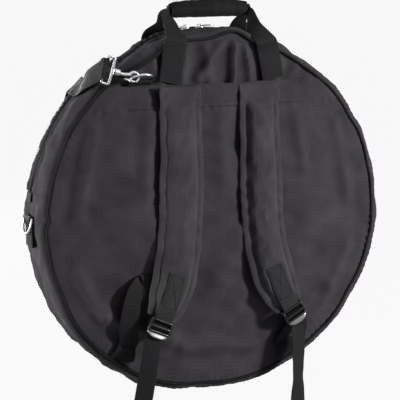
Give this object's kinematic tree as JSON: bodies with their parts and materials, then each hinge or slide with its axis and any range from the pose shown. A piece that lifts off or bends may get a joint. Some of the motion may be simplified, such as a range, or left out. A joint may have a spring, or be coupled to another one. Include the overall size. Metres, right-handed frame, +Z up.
{
  "type": "cymbal bag",
  "caption": "Round padded cymbal bag that hangs from its wrapped grip, with a zip opening, padded backpack straps, a shoulder strap, a front pocket and dividers.",
  "frame": {"origin": "middle of the wrapped grip that holds the bag up", "axes": "+Z up as the bag hangs, +Y out of the front that opens, -Y out of the back with the backpack straps, +X to the right seen from the back"},
  "size_m": [0.627, 0.1631, 0.7162],
  "materials": {
    "cloth": "woven polyester, padded",
    "trim": "woven binding",
    "webbing": "ribbed webbing",
    "lining": "brushed lining over foam",
    "zip": "zip tape with a moulded coil",
    "plastic": "moulded acetal",
    "chrome": "plated wire"
  },
  "bodies": {
    "bag": {"back_panel": "cloth", "back_piping": "trim", "back_pocket": "cloth", "gusset_base": "cloth", "gusset_back_strip": "cloth", "zip_back_tape": "zip", "zip_stop_left": "cloth", "zip_stop_right": "cloth", "front_panel_lower": "cloth", "front_piping_lower": "trim", "divider_back": "lining", "divider_front": "lining", "front_pocket_gusset": "cloth", "front_pocket_panel": "cloth", "front_pocket_binding": "webbing", "handle_back": "webbing", "grip_wrap": "cloth", "dring_hem_tab": "webbing", "dring_left_tab": "webbing", "dring_right_tab": "webbing", "strap_left_anchor": "cloth", "strap_left_lower_webbing": "webbing", "strap_right_anchor": "cloth", "strap_right_lower_webbing": "webbing", "snap_hook_left_loop": "chrome", "snap_hook_right_loop": "chrome", "shoulder_strap_over_edge": "webbing", "shoulder_strap_fold": "webbing", "shoulder_strap_lower": "webbing"},
    "lid": {"front_panel_upper": "cloth", "front_piping_upper": "trim", "gusset_front_strip": "cloth", "zip_front_tape": "zip", "handle_front": "webbing", "shoulder_strap_front": "webbing", "strap_adjuster": "plastic"},
    "left_slider": {"slider_left": "chrome"},
    "left_pull": {"pull_left": "chrome"},
    "right_slider": {"slider_right": "chrome"},
    "right_pull": {"pull_right": "chrome"},
    "left_strap": {"strap_left": "cloth", "strap_left_patch": "webbing"},
    "left_lock": {"ladder_lock_left": "plastic", "strap_left_tail": "webbing"},
    "right_strap": {"strap_right": "cloth", "strap_right_patch": "webbing"},
    "right_lock": {"ladder_lock_right": "plastic", "strap_right_tail": "webbing"},
    "hem_ring": {"dring_hem": "chrome"},
    "left_ring": {"dring_left": "chrome"},
    "right_ring": {"dring_right": "chrome"},
    "left_hook": {"snap_hook_left_body": "chrome"},
    "left_gate": {"snap_hook_left_gate": "chrome"},
    "right_hook": {"snap_hook_right_body": "chrome"},
    "right_gate": {"snap_hook_right_gate": "chrome"}
  },
  "joints": [
    {"name": "lid_open", "type": "hinge", "parent": "bag", "child": "lid", "pos_m": [0, 0.043, -0.281], "axis": [-1, 0, 0], "range_deg": [0, 110], "deforming": ["shoulder_strap_fold", "shoulder_strap_over_edge", "grip_wrap"]},
    {"name": "slider_left_run", "type": "hinge", "parent": "bag", "child": "left_slider", "pos_m": [0, 0.014, -0.328], "axis": [0, -1, 0], "range_deg": [0, 74]},
    {"name": "slider_right_run", "type": "hinge", "parent": "bag", "child": "right_slider", "pos_m": [0, 0.014, -0.328], "axis": [0, 1, 0], "range_deg": [0, 79]},
    {"name": "pull_left_swing", "type": "hinge", "parent": "left_slider", "child": "left_pull", "pos_m": [-0.02716, 0.014, -0.02953], "axis": [0, 1, 0], "range_deg": [0, 150]},
    {"name": "pull_right_swing", "type": "hinge", "parent": "right_slider", "child": "right_pull", "pos_m": [-0.00209, 0.014, -0.02831], "axis": [0, -1, 0], "range_deg": [0, 150]},
    {"name": "strap_left_swing", "type": "hinge", "parent": "bag", "child": "left_strap", "pos_m": [-0.068, -0.0587, -0.1095], "axis": [-1, 0, 0], "range_deg": [0, 30], "deforming": ["strap_left_lower_webbing"]},
    {"name": "strap_right_swing", "type": "hinge", "parent": "bag", "child": "right_strap", "pos_m": [0.068, -0.0587, -0.1095], "axis": [-1, 0, 0], "range_deg": [0, 30], "deforming": ["strap_right_lower_webbing"]},
    {"name": "lock_left_tilt", "type": "hinge", "parent": "left_strap", "child": "left_lock", "pos_m": [-0.10944, -0.08724, -0.48618], "axis": [-0.9111, 0.0212, 0.4116], "range_deg": [0, 25]},
    {"name": "lock_right_tilt", "type": "hinge", "parent": "right_strap", "child": "right_lock", "pos_m": [0.11767, -0.08724, -0.48607], "axis": [-0.8789, -0.0246, -0.4764], "range_deg": [0, 25]},
    {"name": "hem_ring_swing", "type": "hinge", "parent": "bag", "child": "hem_ring", "pos_m": [-0.131, -0.05236, -0.107], "axis": [1, 0, 0], "range_deg": [0, 6]},
    {"name": "left_ring_swing", "type": "hinge", "parent": "bag", "child": "left_ring", "pos_m": [-0.3004, 0, -0.32], "axis": [0, 1, 0], "range_deg": [0, 150]},
    {"name": "right_ring_swing", "type": "hinge", "parent": "bag", "child": "right_ring", "pos_m": [0.3004, 0.018, -0.32], "axis": [0, -1, 0], "range_deg": [-6, 3]},
    {"name": "hook_left_swivel", "type": "hinge", "parent": "bag", "child": "left_hook", "pos_m": [-0.14699, -0.06791, -0.09873], "axis": [-0.9551, 0.06, 0.29], "range_deg": [-6, 15]},
    {"name": "hook_right_swivel", "type": "hinge", "parent": "bag", "child": "right_hook", "pos_m": [0.31125, 0.03399, -0.33388], "axis": [0, -0.2496, 0.9684], "range_deg": [-15, 15], "deforming": ["shoulder_strap_lower"]},
    {"name": "gate_left_slide", "type": "slide", "parent": "left_hook", "child": "left_gate", "axis": [-0.9551, 0.06, 0.29], "range_m": [0, 0.006], "stiffness_N_per_m": 120, "springref_m": -0.002},
    {"name": "gate_right_slide", "type": "slide", "parent": "right_hook", "child": "right_gate", "axis": [0, 0.2496, -0.9684], "range_m": [0, 0.006], "stiffness_N_per_m": 120, "springref_m": -0.002}
  ]
}
